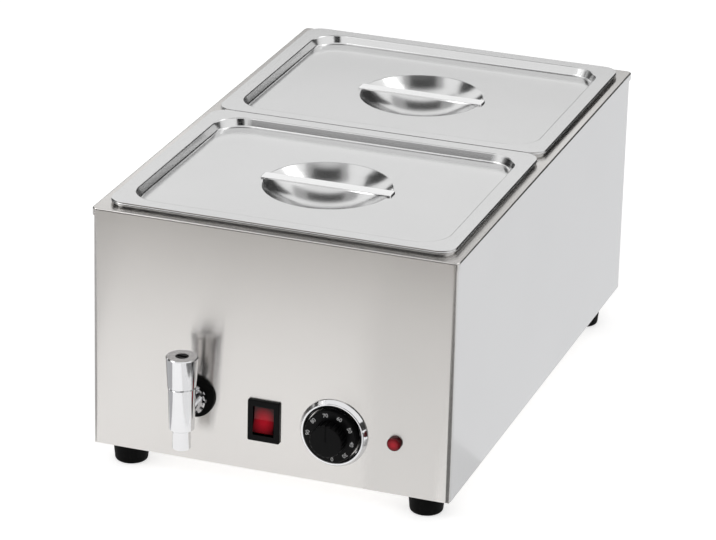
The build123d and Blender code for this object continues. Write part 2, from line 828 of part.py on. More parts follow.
def make_tap_collar():
    """Castellated collar that presses the gasket against the panel."""
    low = tap_gasket_thickness
    high = low + tap_collar_thickness
    collar = panel_ring(tap_collar_radius, shank_radius + screw_gap, low, high)
    notch = Box(2 * tap_collar_notch, tap_collar_notch, tap_collar_thickness)
    notch = Pos(tap_collar_radius, 0, high) * notch
    collar -= [Rot(0, 0, 360 * i / tap_collar_notches) * notch for i in range(tap_collar_notches)]
    return on_front(tap_x, tap_z) * collar


def make_tap_washer():
    ring = panel_ring(locknut_flats / 2, shank_radius + screw_gap, -sheet - washer_thickness, -sheet)
    return on_front(tap_x, tap_z) * ring


def make_tap_locknut():
    nut = hexagon(locknut_flats, locknut_thickness)
    nut -= Cylinder(shank_radius + screw_gap, 4 * locknut_thickness)
    low = -sheet - washer_thickness - locknut_thickness
    return on_front(tap_x, tap_z) * Pos(0, 0, low) * nut


def make_drain_coupling():
    """Sleeve that joins the tap's shank to the drain elbow."""
    ring = panel_ring(
        shank_radius + coupling_wall, shank_radius + screw_gap, -coupling_length / 2, coupling_length / 2
    )
    return on_front(tap_x, tap_z) * Pos(0, 0, -sheet - shank_tail) * ring


def make_drain_elbow():
    """Bent pipe from the tank's drain hole to the tap's shank, with a flange at the tank."""
    start = front_y + sheet + shank_tail
    path = FilletPolyline(
        (tap_x, start, tap_z),
        (tap_x, drain_y(), tap_z),
        (tap_x, drain_y(), tank_under),
        radius=drain_drop - drain_straight,
    )
    pipe = tube_along(path, shank_radius)
    pipe += post(tap_x, drain_y(), tank_under - 2 * sheet, tank_under, shank_radius + coupling_wall)
    return pipe - tube_along(path, shank_radius - drain_wall())


def element_ends():
    return middle_y + well_length / 2 - element_tail


def make_heating_element():
    """Tubular element in three hairpin bends under the tank's floor."""
    outer = element_pitch * 3 / 2
    inner = element_pitch / 2
    front = middle_y - well_length / 2 + element_end_margin
    back = middle_y + well_length / 2 - 2 * element_end_margin
    path = FilletPolyline(
        (-outer, element_ends(), element_z),
        (-outer, front, element_z),
        (-inner, front, element_z),
        (-inner, back, element_z),
        (inner, back, element_z),
        (inner, front, element_z),
        (outer, front, element_z),
        (outer, element_ends(), element_z),
        radius=inner - sheet,
    )
    return tube_along(path, element_radius)


def make_element_terminals():
    x = element_pitch * 3 / 2
    ends = (element_ends(), element_ends() + terminal_length)
    return Part() + [rod(sign * x, element_z, *ends, element_radius / 2) for sign in (-1, 1)]


def make_clamp(y):
    """Flat bar that presses the element's four runs against the tank."""
    half = element_pitch * 3 / 2 + clamp_overhang
    bar = block(-half, half, y - clamp_width / 2, y + clamp_width / 2, clamp_top - clamp_thickness, clamp_top)
    bar = fillet(bar.edges().filter_by(Axis.Z), clamp_width / 4)
    holes = [place for place in clamp_stud_places() if place[1] == y]
    low = clamp_top - 2 * clamp_thickness
    bar -= [post(x, spot, low, clamp_top, stud_radius + screw_gap) for x, spot in holes]
    return bar


def make_clamp_studs():
    low = clamp_top - clamp_thickness - nut_height - sheet
    return Part() + [post(x, y, low, tank_under, stud_radius) for x, y in clamp_stud_places()]


def make_clamp_nuts():
    nut = hexagon(nut_flats, nut_height) - Cylinder(stud_radius + screw_gap, 4 * nut_height)
    low = clamp_top - clamp_thickness - nut_height
    return Part() + [Pos(x, y, low) * nut for x, y in clamp_stud_places()]


def make_overheat_cutout():
    """Disc cut-out against the tank's floor, with a fixing plate and two blades."""
    body = post(0, 0, tank_under - cutout_height, tank_under, cutout_radius)
    reach = 2 * cutout_radius
    body += block(-cutout_radius, cutout_radius, -reach, reach, tank_under - sheet, tank_under)
    blade = block(
        -blade_width / 2, blade_width / 2, -blade_thickness / 2, blade_thickness / 2,
        tank_under - cutout_height - blade_length, tank_under - cutout_height,
    )
    body += [Pos(0, sign * cutout_radius / 2, 0) * blade for sign in (-1, 1)]
    return Pos(element_pitch, middle_y, 0) * body


def block_y():
    return back_y - block_back_margin


def terminal_xs():
    return [block_x + offset * block_width / 3 for offset in (-1, 0, 1)]


def wire_z():
    return casing_floor + wire_lift


def make_terminal_block():
    """Plastic connector block on the base plate, with three clamping ways."""
    half = block_length / 2
    body = block(
        block_x - block_width / 2, block_x + block_width / 2, block_y() - half, block_y() + half,
        casing_floor, casing_floor + block_height,
    )
    near = block_y() - half
    far = block_y() + half
    body -= [rod(x, wire_z(), near, far, wire_radius + screw_gap) for x in terminal_xs()]
    low = wire_z() + 2 * wire_radius
    top = casing_floor + block_height
    return body - [post(x, block_y(), low, top, block_screw_radius + screw_gap) for x in terminal_xs()]


def make_terminal_screws():
    top = casing_floor + block_height - sheet
    low = wire_z() + 2 * wire_radius
    slot = Pos(0, 0, top) * Box(2 * block_screw_radius, sheet, 2 * sheet)
    grub = post(0, 0, low, top, block_screw_radius) - slot
    return Part() + [Pos(x, block_y(), 0) * grub for x in terminal_xs()]


def earth_place():
    return (block_x - block_width, block_y())


def make_earth_stud():
    """Brass stud and nut that earth the base plate."""
    x, y = earth_place()
    stud = post(x, y, foot_height - sheet, casing_floor + 3 * nut_height, stud_radius)
    head = post(x, y, foot_height - 2 * sheet, foot_height, 2 * stud_radius)
    nut = hexagon(nut_flats, nut_height) - Cylinder(stud_radius + screw_gap, 4 * nut_height)
    return Part() + [stud + head, Pos(x, y, casing_floor) * nut]


def make_cable_gland():
    """Gland for the mains lead: threaded tail, hexagon and cap, bored through."""
    up = (Align.CENTER, Align.CENTER, Align.MIN)
    tail = Pos(0, 0, -sheet - gland_tail) * Cylinder(gland_thread_radius, sheet + gland_tail, align=up)
    grip = hexagon(gland_flats, gland_hex_length)
    cap = Cylinder(gland_cap_radius, gland_cap_length, align=up)
    cap = Pos(0, 0, gland_hex_length) * fillet(top_edges(cap), gland_cap_radius / 4)
    bore = Cylinder(gland_bore_radius, 4 * (gland_tail + gland_reach))
    return on_back(gland_x, foot_height + gland_height) * (tail + grip + cap - bore)


def make_gland_locknut():
    nut = hexagon(gland_flats, gland_nut_thickness)
    nut -= Cylinder(gland_thread_radius + screw_gap, 4 * gland_nut_thickness)
    return on_back(gland_x, foot_height + gland_height) * Pos(0, 0, -sheet - gland_nut_thickness) * nut


def make_supply_wire(way, blade):
    """Wire from a way of the terminal block to a blade of the switch."""
    dx, dy = blade_places()[blade]
    start_y = block_y() - block_length / 2
    end_y = front_y + switch_depth + blade_length
    x, z = switch_x + dx, control_z + dy
    path = FilletPolyline(
        (terminal_xs()[way], start_y, wire_z()),
        (terminal_xs()[way], middle_y, wire_z()),
        (x, end_y + 5 * wire_bend, wire_z()),
        (x, end_y + 2 * wire_bend, z),
        (x, end_y, z),
        radius=wire_bend,
    )
    return tube_along(path, wire_radius)


def make_thermostat_wire():
    """Wire from an upper blade of the switch to the thermostat's near blade."""
    dx, dy = blade_places()[3]
    start = (switch_x + dx, front_y + switch_depth + blade_length, control_z + dy)
    end = (knob_x - thermostat_blade_x(), front_y + sheet + thermostat_depth + blade_length, control_z)
    turn = max(start[1], end[1]) + 2 * wire_bend
    corners = [start, (start[0], turn, start[2]), (end[0], turn, end[2]), end]
    path = FilletPolyline(*corners, radius=wire_bend * 4 / 5)
    return tube_along(path, wire_radius)


def make_element_wire():
    """Wire from the thermostat's far blade back to the element's terminal."""
    start = (knob_x + thermostat_blade_x(), front_y + sheet + thermostat_depth + blade_length, control_z)
    x = element_pitch * 3 / 2 + 2 * wire_bend
    end_y = element_ends() + terminal_length
    low = clamp_top - clamp_thickness - nut_height - wire_bend
    path = FilletPolyline(
        start,
        (start[0], start[1] + 2 * wire_bend, start[2]),
        (x, start[1] + 5 * wire_bend, low),
        (x, end_y - wire_bend, low),
        (element_pitch * 3 / 2, end_y + 2 * wire_bend, element_z),
        (element_pitch * 3 / 2, end_y, element_z),
        radius=wire_bend / 2,
    )
    return tube_along(path, wire_radius)


pan_front_y = middle_y - (pan_length + pan_gap) / 2
pan_rear_y = middle_y + (pan_length + pan_gap) / 2
foot_names = ("foot_front_left", "foot_front_right", "foot_back_left", "foot_back_right")

nodes = {
    "outer_casing": make_outer_casing(),
    "back_panel": make_back_panel(),
    "base_plate": make_base_plate(),
    "tank_rim": make_tank_rim(),
    "water_tank": make_water_tank(),
    "pan_front": make_pan(pan_front_y),
    "pan_rear": make_pan(pan_rear_y),
    "lid_front": make_lid(pan_front_y),
    "lid_rear": make_lid(pan_rear_y),
    "lid_front_handle": make_strap(pan_front_y),
    "lid_rear_handle": make_strap(pan_rear_y),
    "foot_screws": make_foot_screws(),
    "foot_nuts": make_foot_nuts(),
    "base_screws": make_base_screws(),
    "back_screws": make_back_screws(),
    "thermostat_body": make_thermostat_body(),
    "thermostat_spindle": make_thermostat_spindle(),
    "thermostat_screws": make_thermostat_screws(),
    "thermostat_knob": make_knob(),
    "knob_bezel": make_knob_bezel(),
    "capillary_tube": make_capillary_tube(),
    "sensing_bulb": make_sensing_bulb(),
    "bulb_clips": make_bulb_clips(),
    "switch_housing": make_switch_housing(),
    "switch_rocker": make_switch_rocker(),
    "switch_terminals": make_switch_terminals(),
    "pilot_lamp_lens": make_lamp_lens(),
    "pilot_lamp_body": make_lamp_body(),
    "pilot_lamp_nut": make_lamp_nut(),
    "tap_body": make_tap_body(),
    "tap_plug": make_tap_plug(),
    "tap_o_ring": make_o_ring(),
    "tap_handle": make_tap_handle(),
    "tap_handle_screw": make_tap_handle_screw(),
    "tap_gasket": make_tap_gasket(),
    "tap_collar": make_tap_collar(),
    "tap_inner_washer": make_tap_washer(),
    "tap_locknut": make_tap_locknut(),
    "drain_coupling": make_drain_coupling(),
    "drain_elbow": make_drain_elbow(),
    "heating_element": make_heating_element(),
    "element_terminals": make_element_terminals(),
    "element_clamp_front": make_clamp(clamp_rows()[0]),
    "element_clamp_rear": make_clamp(clamp_rows()[1]),
    "clamp_studs": make_clamp_studs(),
    "clamp_nuts": make_clamp_nuts(),
    "overheat_cutout": make_overheat_cutout(),
    "terminal_block": make_terminal_block(),
    "terminal_screws": make_terminal_screws(),
    "earth_stud": make_earth_stud(),
    "cable_gland": make_cable_gland(),
    "gland_locknut": make_gland_locknut(),
    "wire_live": make_supply_wire(0, 0),
    "wire_neutral": make_supply_wire(1, 1),
    "wire_thermostat": make_thermostat_wire(),
    "wire_element": make_element_wire(),
}
for name, place in zip(foot_names, foot_places()):
    nodes[name] = make_foot(*place)

os.makedirs("parts", exist_ok=True)
for name, solid in nodes.items():
    export_step(solid, f"parts/{name}.step")
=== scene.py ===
import bpy
import json
import math
from mathutils import Matrix, Vector


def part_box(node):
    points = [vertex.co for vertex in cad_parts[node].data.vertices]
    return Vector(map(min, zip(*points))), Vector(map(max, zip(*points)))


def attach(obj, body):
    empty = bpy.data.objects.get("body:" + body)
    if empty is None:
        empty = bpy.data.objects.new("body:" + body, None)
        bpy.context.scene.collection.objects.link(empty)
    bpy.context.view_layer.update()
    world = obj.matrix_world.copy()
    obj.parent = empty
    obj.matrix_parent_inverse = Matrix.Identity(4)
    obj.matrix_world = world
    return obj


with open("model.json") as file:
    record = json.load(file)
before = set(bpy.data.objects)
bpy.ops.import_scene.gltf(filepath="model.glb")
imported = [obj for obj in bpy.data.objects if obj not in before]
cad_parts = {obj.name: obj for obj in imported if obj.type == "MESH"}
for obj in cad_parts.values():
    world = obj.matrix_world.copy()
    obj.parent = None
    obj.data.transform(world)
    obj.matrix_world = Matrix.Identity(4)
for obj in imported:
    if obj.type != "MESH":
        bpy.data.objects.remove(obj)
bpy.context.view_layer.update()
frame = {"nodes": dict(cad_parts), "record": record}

# Camera: the point it looks at, its direction in degrees, its distance in metres, its focal length in pixels
IMAGE_WIDTH = 716
SENSOR_WIDTH = 36.0
CAMERA_TARGET = Vector((-0.01485, 0.0126, 0.11124))
CAMERA_AZIMUTH = 19.09
CAMERA_ELEVATION = 22.22
CAMERA_ROLL = 1.44
CAMERA_DISTANCE = 3.5293
CAMERA_FOCAL = 3694.0
CAMERA_REACH = 100.0

# Brushed steel: noise cells per metre, factors on the colour, relief in metres, gloss turn in full turns
BRUSH_ALONG = 30
BRUSH_ACROSS = 2600
BRUSH_CLOUD = 9.0
BRUSH_CLOUD_DARK = 0.96
BRUSH_CLOUD_LIGHT = 1.02
BRUSH_LINE_DARK = 0.975
BRUSH_RELIEF = 0.0002
BRUSH_RELIEF_STRENGTH = 0.01
BRUSH_GLOSS_TURN = 0.25

# Other metals: noise cells per metre, factors on the roughness, relief in metres
METAL_CLOUD = 60.0
METAL_MARKS = 900.0
METAL_SMOOTH = 0.8
METAL_ROUGH = 1.3
METAL_RELIEF = 0.0002
METAL_RELIEF_STRENGTH = 0.03

# Plastics: noise cells per metre, factors on the colour, spread of the roughness, relief in metres
PLASTIC_CLOUD = 120.0
PLASTIC_CLOUD_DARK = 0.8
PLASTIC_CLOUD_LIGHT = 1.2
PLASTIC_ROUGH_SPREAD = 0.06
PLASTIC_RELIEF = 0.0003

# Red lens: distances from its centre in shares of its width, its own red and the painted shade of its rim,
# noise cells per metre, depths in metres
LENS_MIDDLE = 0.12
LENS_EDGE = 0.5
LENS_MIDDLE_COLOUR = (0.58, 0.009, 0.025)
# Painted shade: the colour that the lens is darkened to at its rim
LENS_PAINTED_RIM_SHADE = (0.06, 0.002, 0.004)
LENS_RIBS = (900, 40, 40)
LENS_SMOOTH = 0.12
LENS_ROUGH = 0.2
LENS_SHINE = 0.25
LENS_GLOW = 0.2
LENS_GLOW_DEPTH = (0.003, 0.0003, 0.0003)

# Dial: angles in degrees from the right, sizes in metres
DIAL_NUMBERS = ("0", "30", "40", "50", "60", "70", "80", "90")
DIAL_START = -83.0
DIAL_STEP = 37.1
DIAL_TEXT_RADIUS = 0.0208
DIAL_TEXT_SIZE = 0.0052
DIAL_TEXT_DEPTH = 0.00008
KNOB_GRIP_HEIGHT = 0.011
QUARTER_TURN = math.radians(90)

# Studio: brightness of the floor and of the room, then heights and sizes in metres
FLOOR_GREY = 0.8
FLOOR_GLOW = 0.6
WORLD_LIGHT = 0.55
FLOOR_SIZE = 8.0
CARD_LIFT = 0.002
CEILING_HEIGHT = 3.0
CORE_HEIGHT = 2.98
FLAG_FOOT = 0.31
FLAG_TOP = 0.42
FLAG_BACK_TOP = 0.45
FRONT_WALL_FOOT = 0.5
FRONT_WALL_TOP = 2.5
BACK_WALL_TOP = 2.0
HORIZON_SIDES = 16
HORIZON_RADIUS = 3.2
HORIZON_HEIGHT = 1.12

# Level cards: corners (x, y), in order round the card
FRONT_CARD = [(-1.6, -2.6), (1.6, -2.6), (1.6, -0.79), (-1.6, -0.79)]
LEFT_CARD = [(-0.9, -0.75), (-0.30, -0.57), (-0.20, -0.27), (-0.9, 0.2)]
RIGHT_CARD = [(0.165, -0.27), (0.07, -0.62), (0.7, -0.78), (0.7, -0.27)]
MIDDLE_CARD = [(0.155, -0.264), (0.09, -0.264), (-0.05, -0.66), (0.06, -0.62)]
SIDE_NEAR_CARD = [(0.175, -0.26), (0.34, -0.26), (0.30, -0.02), (0.175, -0.14)]
SIDE_CARD = [(0.175, -0.26), (1.6, -0.26), (1.6, 2.0), (0.175, 2.0)]
LEFT_CEILING_CARD = [(-2.01, 0.65), (-3.97, 0.79), (-4.73, 2.94), (-2.24, 1.96)]

# Upright cards: their two ends (x, y)
FRONT_FLAG = [(-0.45, -0.45), (0.55, -0.45)]
LEFT_FLAG = [(-0.45, -0.45), (-0.45, 0.1)]
FRONT_WALL = [(0.27, -3.14), (1.85, -2.55)]
BACK_WALL = [(-0.1, 3.0), (2.2, 2.2)]

# Colours of the cards and of the room
WHITE = (1.0, 1.0, 1.0)
BLACK = (0.0, 0.0, 0.0)
SOOT = (0.03, 0.03, 0.03)
CHARCOAL = (0.05, 0.05, 0.05)
DARK_GREY = (0.2, 0.2, 0.2)
WARM_GREY = (0.26, 0.24, 0.22)
MID_GREY = (0.5, 0.5, 0.51)
COOL_GREY = (0.74, 0.755, 0.78)
COOL_PALE = (0.86, 0.88, 0.91)
PALE = (0.93, 0.93, 0.93)


def new_material(name):
    """Node material with its shader and its coordinates in metres."""
    material = bpy.data.materials.new(name)
    material.use_nodes = True
    nodes = material.node_tree.nodes
    shader = nodes["Principled BSDF"]
    coords = nodes.new("ShaderNodeTexCoord")
    return material, nodes, material.node_tree.links, shader, coords


def noise(nodes, links, vector, scale=1.0, detail=3.0, stretch=(1, 1, 1)):
    """Noise texture, stretched along the axes with the small factors."""
    mapping = nodes.new("ShaderNodeMapping")
    mapping.inputs["Scale"].default_value = stretch
    links.new(vector, mapping.inputs["Vector"])
    texture = nodes.new("ShaderNodeTexNoise")
    texture.inputs["Scale"].default_value = scale
    texture.inputs["Detail"].default_value = detail
    links.new(mapping.outputs["Vector"], texture.inputs["Vector"])
    return texture.outputs["Fac"]


def ramp(nodes, links, value, low, high, start=0.3, end=0.7):
    """Map a value between start and end to a range of numbers."""
    node = nodes.new("ShaderNodeMapRange")
    node.inputs["From Min"].default_value = start
    node.inputs["From Max"].default_value = end
    node.inputs["To Min"].default_value = low
    node.inputs["To Max"].default_value = high
    links.new(value, node.inputs["Value"])
    return node.outputs["Result"]


def blend_values(nodes, links, factor, first, second):
    """Number between two others, by a factor."""
    node = nodes.new("ShaderNodeMix")
    links.new(factor, node.inputs["Factor"])
    links.new(first, node.inputs["A"])
    links.new(second, node.inputs["B"])
    return node.outputs["Result"]


def blend_colours(nodes, links, value, dark, light):
    """Colour between two shades, by a noise value."""
    node = nodes.new("ShaderNodeMix")
    node.data_type = "RGBA"
    node.inputs["A"].default_value = (*dark, 1)
    node.inputs["B"].default_value = (*light, 1)
    links.new(value, node.inputs["Factor"])
    return node.outputs["Result"]


def multiply_colours(nodes, links, first, second):
    """Product of two colours."""
    node = nodes.new("ShaderNodeMix")
    node.data_type = "RGBA"
    node.blend_type = "MULTIPLY"
    node.inputs["Factor"].default_value = 1.0
    links.new(first, node.inputs["A"])
    links.new(second, node.inputs["B"])
    return node.outputs["Result"]


def larger(nodes, links, first, second):
    """The larger of two numbers."""
    node = nodes.new("ShaderNodeMath")
    node.operation = "MAXIMUM"
    links.new(first, node.inputs[0])
    links.new(second, node.inputs[1])
    return node.outputs["Value"]


def flatness(nodes, links, coords):
    """1 on level faces and 0 on upright ones."""
    normal = nodes.new("ShaderNodeSeparateXYZ")
    links.new(coords.outputs["Normal"], normal.inputs["Vector"])
    size = nodes.new("ShaderNodeMath")
    size.operation = "ABSOLUTE"
    links.new(normal.outputs["Z"], size.inputs[0])
    return size.outputs["Value"]


def bump(nodes, links, shader, height, strength, distance):
    """Fine relief on the shader's normal."""
    node = nodes.new("ShaderNodeBump")
    node.inputs["Strength"].default_value = strength
    node.inputs["Distance"].default_value = distance
    links.new(height, node.inputs["Height"])
    links.new(node.outputs["Normal"], shader.inputs["Normal"])


def shade(colour, factor):
    """Colour made darker or lighter by a factor."""
    return tuple(min(1.0, c * factor) for c in colour)


def brushed(name, colour, rough, spread, anisotropy, tangent_axis):
    """Steel sheet with fine lines that run level on upright faces and along X on flat ones."""
    material, nodes, links, shader, coords = new_material(name)
    place = coords.outputs["Object"]
    upright = noise(nodes, links, place, detail=4.0, stretch=(BRUSH_ALONG, BRUSH_ALONG, BRUSH_ACROSS))
    flat = noise(nodes, links, place, detail=4.0, stretch=(BRUSH_ALONG, BRUSH_ACROSS, BRUSH_ACROSS))
    lines = blend_values(nodes, links, flatness(nodes, links, coords), upright, flat)
    cloud = noise(nodes, links, place, BRUSH_CLOUD, detail=2.0)
    dark, light = shade(colour, BRUSH_CLOUD_DARK), shade(colour, BRUSH_CLOUD_LIGHT)
    clouded = blend_colours(nodes, links, cloud, dark, light)
    grain = ramp(nodes, links, lines, 0.0, 1.0)
    lined = blend_colours(nodes, links, grain, shade(WHITE, BRUSH_LINE_DARK), WHITE)
    links.new(multiply_colours(nodes, links, clouded, lined), shader.inputs["Base Color"])
    roughness = ramp(nodes, links, lines, rough - spread, rough + spread)
    links.new(roughness, shader.inputs["Roughness"])
    bump(nodes, links, shader, lines, BRUSH_RELIEF_STRENGTH, BRUSH_RELIEF)
    shader.inputs["Metallic"].default_value = 1.0
    shader.inputs["Anisotropic"].default_value = anisotropy
    shader.inputs["Anisotropic Rotation"].default_value = BRUSH_GLOSS_TURN
    tangent = nodes.new("ShaderNodeTangent")
    tangent.direction_type = "RADIAL"
    tangent.axis = tangent_axis
    links.new(tangent.outputs["Tangent"], shader.inputs["Tangent"])
    return material


def plain_metal(name, colour, rough, wear):
    """Plated, cast or drawn metal with soft clouding and small marks."""
    material, nodes, links, shader, coords = new_material(name)
    cloud = noise(nodes, links, coords.outputs["Object"], METAL_CLOUD, detail=4.0)
    marks = noise(nodes, links, coords.outputs["Object"], METAL_MARKS)
    clouded = blend_colours(nodes, links, cloud, shade(colour, 1 - wear), colour)
    links.new(clouded, shader.inputs["Base Color"])
    roughness = ramp(nodes, links, marks, rough * METAL_SMOOTH, rough * METAL_ROUGH)
    links.new(roughness, shader.inputs["Roughness"])
    bump(nodes, links, shader, marks, METAL_RELIEF_STRENGTH, METAL_RELIEF)
    shader.inputs["Metallic"].default_value = 1.0
    return material


def moulded(name, colour, rough, grain_scale, grain_depth, shine=0.5):
    """Moulded plastic or rubber with a fine grain."""
    material, nodes, links, shader, coords = new_material(name)
    cloud = noise(nodes, links, coords.outputs["Object"], PLASTIC_CLOUD)
    grain = noise(nodes, links, coords.outputs["Object"], grain_scale, detail=2.0)
    dark, light = shade(colour, PLASTIC_CLOUD_DARK), shade(colour, PLASTIC_CLOUD_LIGHT)
    links.new(blend_colours(nodes, links, cloud, dark, light), shader.inputs["Base Color"])
    roughness = ramp(nodes, links, grain, rough - PLASTIC_ROUGH_SPREAD, rough + PLASTIC_ROUGH_SPREAD)
    links.new(roughness, shader.inputs["Roughness"])
    bump(nodes, links, shader, grain, grain_depth, PLASTIC_RELIEF)
    shader.inputs["Specular IOR Level"].default_value = shine
    return material


def red_lens(name):
    """Tinted red plastic, darkened to deep red towards its rim by painted shade, so that its middle shows
    brighter.
    """
    material, nodes, links, shader, coords = new_material(name)
    centre = nodes.new("ShaderNodeMapping")
    centre.inputs["Location"].default_value = (-0.5, 0, -0.5)
    centre.inputs["Scale"].default_value = (1, 0, 1)
    links.new(coords.outputs["Generated"], centre.inputs["Vector"])
    reach = nodes.new("ShaderNodeVectorMath")
    reach.operation = "LENGTH"
    links.new(centre.outputs["Vector"], reach.inputs[0])
    # Painted shade that darkens the lens from its middle towards its rim
    rim_shade_mask = ramp(nodes, links, reach.outputs["Value"], 0.0, 1.0, LENS_MIDDLE, LENS_EDGE)
    lens_red_and_shade = blend_colours(nodes, links, rim_shade_mask, LENS_MIDDLE_COLOUR, LENS_PAINTED_RIM_SHADE)
    links.new(lens_red_and_shade, shader.inputs["Base Color"])
    ribs = noise(nodes, links, coords.outputs["Object"], detail=1.0, stretch=LENS_RIBS)
    links.new(ramp(nodes, links, ribs, LENS_SMOOTH, LENS_ROUGH), shader.inputs["Roughness"])
    shader.inputs["Specular IOR Level"].default_value = LENS_SHINE
    shader.inputs["Subsurface Weight"].default_value = LENS_GLOW
    shader.inputs["Subsurface Radius"].default_value = LENS_GLOW_DEPTH
    return material


def wire_sleeve(name, colour):
    """Smooth sleeve of an inner wire."""
    return moulded(name, colour, rough=0.5, grain_scale=3000.0, grain_depth=0.05)


materials = {
    "casing_steel": brushed(
        "brushed_casing_steel", (0.735, 0.715, 0.694),
        rough=0.22, spread=0.015, anisotropy=0.9, tangent_axis="Z",
    ),
    "pan_steel": brushed(
        "satin_pan_steel", (0.745, 0.745, 0.745),
        rough=0.17, spread=0.02, anisotropy=0.3, tangent_axis="Y",
    ),
    # Painted highlight: this steel's base colour is lighter than the pan steel's so that the strips show
    # bright; its low roughness is its own polish
    "polished_steel": brushed(
        "polished_strip_steel_painted_highlight", (0.9, 0.9, 0.9),
        rough=0.12, spread=0.01, anisotropy=0.2, tangent_axis="Z",
    ),
    "chrome": plain_metal("bright_chrome", (0.80, 0.80, 0.81), rough=0.08, wear=0.08),
    "black_steel": plain_metal("blackened_steel", (0.02, 0.02, 0.02), rough=0.35, wear=0.2),
    "black_rubber": moulded(
        "black_rubber", (0.004, 0.004, 0.004),
        rough=0.6, grain_scale=1500.0, grain_depth=0.12, shine=0.06,
    ),
    "black_plastic": moulded(
        "black_plastic", (0.003, 0.003, 0.0033),
        rough=0.34, grain_scale=2200.0, grain_depth=0.08, shine=0.1,
    ),
    "red_lens": red_lens("red_lens"),
    "pale_plastic": moulded(
        "pale_plastic", (0.72, 0.70, 0.64),
        rough=0.45, grain_scale=1400.0, grain_depth=0.06,
    ),
    "brass": plain_metal("machined_brass", (0.78, 0.58, 0.26), rough=0.28, wear=0.18),
    "plain_steel": plain_metal("zinc_steel", (0.58, 0.58, 0.6), rough=0.3, wear=0.2),
    "element_sheath": plain_metal("heated_sheath", (0.32, 0.29, 0.27), rough=0.45, wear=0.35),
    "copper": plain_metal("drawn_copper", (0.74, 0.42, 0.29), rough=0.3, wear=0.2),
    "brown_wire": wire_sleeve("brown_sleeve", (0.22, 0.09, 0.035)),
    "blue_wire": wire_sleeve("blue_sleeve", (0.04, 0.10, 0.42)),
    "white_wire": wire_sleeve("white_sleeve", (0.78, 0.78, 0.75)),
}
number_paint = moulded("number_paint", (0.75, 0.75, 0.75), rough=0.5, grain_scale=2500.0, grain_depth=0.03)


def dress_nodes():
    """Give each CAD node the material of its slot."""
    for entry in frame["record"]["subparts"]:
        mesh = frame["nodes"][entry["node"]].data
        mesh.materials.clear()
        mesh.materials.append(materials[entry["material_slot"]])


def number_text(name, number):
    """Text of one number, slightly proud of the skirt."""
    text = bpy.data.curves.new(name, "FONT")
    text.body = number
    text.align_x = "CENTER"
    text.align_y = "CENTER"
    text.size = DIAL_TEXT_SIZE
    text.extrude = DIAL_TEXT_DEPTH
    text.materials.append(number_paint)
    return text


def dial_numbers():
    """Numbers printed round the knob's skirt, rising against the clock from its foot."""
    low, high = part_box("thermostat_knob")
    centre = (low + high) / 2
    skirt_face = low.y + KNOB_GRIP_HEIGHT
    facing_front = Matrix.Rotation(QUARTER_TURN, 4, "X")
    for i, number in enumerate(DIAL_NUMBERS):
        angle = math.radians(DIAL_START + i * DIAL_STEP)
        name = "dial_number_" + number
        piece = bpy.data.objects.new(name, number_text(name, number))
        bpy.context.scene.collection.objects.link(piece)
        x = centre.x + DIAL_TEXT_RADIUS * math.cos(angle)
        z = centre.z + DIAL_TEXT_RADIUS * math.sin(angle)
        foot_inwards = Matrix.Rotation(angle - QUARTER_TURN, 4, "Z")
        piece.matrix_world = Matrix.Translation((x, skirt_face, z)) @ (facing_front @ foot_inwards)
        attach(piece, "knob")


def make_camera():
    """Camera on its line of sight, tilted by its roll."""
    azimuth = math.radians(CAMERA_AZIMUTH)
    elevation = math.radians(CAMERA_ELEVATION)
    roll = math.radians(CAMERA_ROLL)
    back = Vector((
        math.sin(azimuth) * math.cos(elevation),
        -math.cos(azimuth) * math.cos(elevation),
        math.sin(elevation),
    ))
    level = Vector((math.cos(azimuth), math.sin(azimuth), 0))
    upright = back.cross(level)
    right = level * math.cos(roll) + upright * math.sin(roll)
    up = upright * math.cos(roll) - level * math.sin(roll)
    data = bpy.data.cameras.new("camera")
    data.sensor_width = SENSOR_WIDTH
    data.lens = CAMERA_FOCAL * SENSOR_WIDTH / IMAGE_WIDTH
    data.clip_end = CAMERA_REACH
    camera = bpy.data.objects.new("camera", data)
    bpy.context.scene.collection.objects.link(camera)
    rotation = Matrix((right, up, back)).transposed().to_4x4()
    camera.matrix_world = Matrix.Translation(CAMERA_TARGET + back * CAMERA_DISTANCE) @ rotation
    bpy.context.scene.camera = camera


def seen_directly(nodes, links):
    """1 for rays from the camera, off shiny faces or through clear ones, else 0."""
    rays = nodes.new("ShaderNodeLightPath").outputs
    seen = larger(nodes, links, rays["Is Camera Ray"], rays["Is Glossy Ray"])
    return larger(nodes, links, seen, rays["Is Transmission Ray"])


def make_world():
    """White room that gives a softer light than it shows."""
    world = bpy.data.worlds.new("studio")
    bpy.context.scene.world = world
    world.use_nodes = True
    nodes = world.node_tree.nodes
    links = world.node_tree.links
    background = nodes["Background"]
    background.inputs["Color"].default_value = (*WHITE, 1)
    strength = ramp(nodes, links, seen_directly(nodes, links), WORLD_LIGHT, 1.0, start=0.0, end=1.0)
    links.new(strength, background.inputs["Strength"])


def bare_material(name):
    """Node material with nothing on its output yet."""
    material = bpy.data.materials.new(name)
    material.use_nodes = True
    nodes = material.node_tree.nodes
    nodes.remove(nodes["Principled BSDF"])
    return material, nodes, material.node_tree.links


def stage_sheet(name, corners, material):
    """Four-cornered sheet of the studio, not part of the object."""
    mesh = bpy.data.meshes.new(name)
    mesh.from_pydata(corners, [], [(0, 1, 2, 3)])
    mesh.materials.append(material)
    sheet = bpy.data.objects.new(name, mesh)
    bpy.context.scene.collection.objects.link(sheet)
    return sheet


